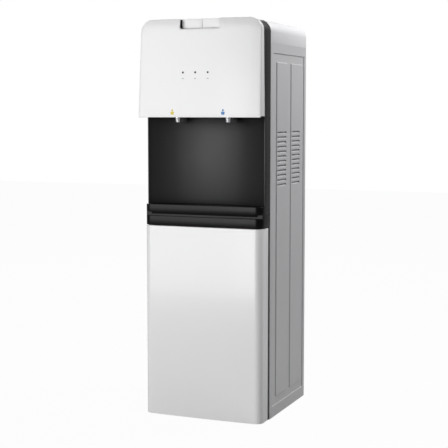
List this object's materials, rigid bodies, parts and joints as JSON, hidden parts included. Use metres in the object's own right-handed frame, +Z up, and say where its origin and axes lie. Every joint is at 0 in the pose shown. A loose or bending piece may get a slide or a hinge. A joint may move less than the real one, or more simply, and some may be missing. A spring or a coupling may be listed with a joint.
{
  "type": "water dispenser",
  "caption": "Floor-standing water dispenser: white curved fascia, black cup alcove with hot and cold push taps, slide-out drip tray, hinged storage door and top bottle seat under a lid.",
  "frame": {"origin": "on the floor, under the middle of the bounding box", "axes": "+Z up, +X to the right of a person facing the taps, +Y to the back, so the taps and the door face -Y"},
  "size_m": [0.318, 0.36, 0.98],
  "materials": {
    "white_plastic": "smooth satin gloss",
    "grey_steel": "light grey powder coat",
    "cover_plastic": "fine satin",
    "black_plastic": "satin",
    "black_gloss": "polished",
    "rubber": "matt",
    "zinc_steel": "bare galvanised sheet",
    "screw_steel": "plated",
    "stainless": "drawn stainless",
    "aluminium": "extruded, mill finish",
    "ceramic": "ground flat",
    "foam_white": "expanded foam",
    "foam_grey": "closed cell foam",
    "mica_band": "heater band",
    "board": "solder mask",
    "bakelite": "moulded",
    "silicone": "translucent white silicone",
    "lens": "unlit indicator lens",
    "chrome_tip": "plated",
    "rocker_red": "smooth",
    "rocker_green": "smooth",
    "ferrite": "ferrite strip"
  },
  "bodies": {
    "cabinet": {"base_plate": "zinc_steel", "feet": "rubber", "side_panel_left": "grey_steel", "side_panel_right": "grey_steel", "rear_panel": "zinc_steel", "rear_screws": "screw_steel", "wall_spacers": "black_plastic", "cord_gland": "rubber", "door_frame": "black_plastic", "cabinet_liner": "foam_white", "tray_surround": "black_gloss", "alcove_frame": "black_plastic", "head_frame": "black_plastic", "head_floor": "black_plastic", "fascia_housing": "white_plastic", "fascia_plate": "white_plastic", "led_lenses": "lens", "led_board": "board", "top_cover": "cover_plastic", "lid_pin": "screw_steel", "bottle_seat": "white_plastic", "bottle_spike": "white_plastic", "tank_shelf": "zinc_steel", "cold_tank": "stainless", "insulation_front": "foam_white", "insulation_back": "foam_white", "cold_block": "aluminium", "peltier_module": "ceramic", "heatsink": "aluminium", "fan_frame": "black_plastic", "chassis_deck": "zinc_steel", "hot_tank_stand": "zinc_steel", "hot_tank": "stainless", "heater_band": "mica_band", "hot_jacket": "foam_grey", "thermostats": "bakelite", "power_board": "board", "cold_hose": "silicone", "feed_hose": "silicone", "hot_hose": "silicone", "drain_pipe": "silicone", "tap_bodies": "black_plastic", "spouts": "chrome_tip", "tap_pins": "screw_steel", "switch_frame": "black_plastic", "door_hinges": "screw_steel", "catch_magnet": "ferrite"},
    "door": {"door_skin": "white_plastic", "door_inner": "white_plastic"},
    "lid": {"top_lid": "cover_plastic"},
    "fan": {"fan_rotor": "black_plastic"},
    "tray": {"drip_tray": "black_gloss"},
    "grille": {"drip_grille": "black_gloss"},
    "hot_paddle": {"paddle_hot": "black_plastic"},
    "cold_paddle": {"paddle_cold": "black_plastic"},
    "hot_plunger": {"plunger_hot": "silicone"},
    "cold_plunger": {"plunger_cold": "silicone"},
    "hot_rocker": {"rocker_hot": "rocker_red"},
    "cold_rocker": {"rocker_cold": "rocker_green"},
    "cap": {"drain_cap": "black_plastic"}
  },
  "joints": [
    {"name": "door_hinge", "type": "hinge", "parent": "cabinet", "child": "door", "pos_m": [0.146, -0.113, 0.24], "axis": [0, 0, 1], "range_deg": [0, 100]},
    {"name": "lid_hinge", "type": "hinge", "parent": "cabinet", "child": "lid", "pos_m": [0, 0.1, 0.9735], "axis": [-1, 0, 0], "range_deg": [0, 92]},
    {"name": "fan_spin", "type": "hinge", "parent": "cabinet", "child": "fan", "pos_m": [0, 0.137, 0.8255], "axis": [0, 1, 0], "continuous": true},
    {"name": "tray_slide", "type": "slide", "parent": "cabinet", "child": "tray", "axis": [0, -1, 0], "range_m": [0, 0.09]},
    {"name": "grille_lift", "type": "slide", "parent": "tray", "child": "grille", "axis": [0, 0, 1], "range_m": [0, 0.03]},
    {"name": "hot_press", "type": "hinge", "parent": "cabinet", "child": "hot_paddle", "pos_m": [-0.066, -0.115, 0.756], "axis": [1, 0, 0], "range_deg": [0, 8], "stiffness_Nm_per_rad": 0.3, "springref_deg": -5.73},
    {"name": "cold_press", "type": "hinge", "parent": "cabinet", "child": "cold_paddle", "pos_m": [0.066, -0.115, 0.756], "axis": [1, 0, 0], "range_deg": [0, 8], "stiffness_Nm_per_rad": 0.3, "springref_deg": -5.73},
    {"name": "hot_valve", "type": "slide", "parent": "cabinet", "child": "hot_plunger", "axis": [0, 0, -1], "range_m": [0, 0.0042]},
    {"name": "cold_valve", "type": "slide", "parent": "cabinet", "child": "cold_plunger", "axis": [0, 0, -1], "range_m": [0, 0.0042]},
    {"name": "hot_switch", "type": "hinge", "parent": "cabinet", "child": "hot_rocker", "pos_m": [-0.107, 0.1715, 0.543], "axis": [1, 0, 0], "range_deg": [0, 20]},
    {"name": "cold_switch", "type": "hinge", "parent": "cabinet", "child": "cold_rocker", "pos_m": [-0.083, 0.1715, 0.543], "axis": [1, 0, 0], "range_deg": [0, 20]},
    {"name": "drain_pull", "type": "slide", "parent": "cabinet", "child": "cap", "axis": [0, 1, 0], "range_m": [0, 0.02]}
  ],
  "couplings": [
    {"joint": "hot_valve", "follows": "hot_press", "m_per_rad": 0.03},
    {"joint": "cold_valve", "follows": "cold_press", "m_per_rad": 0.03}
  ]
}
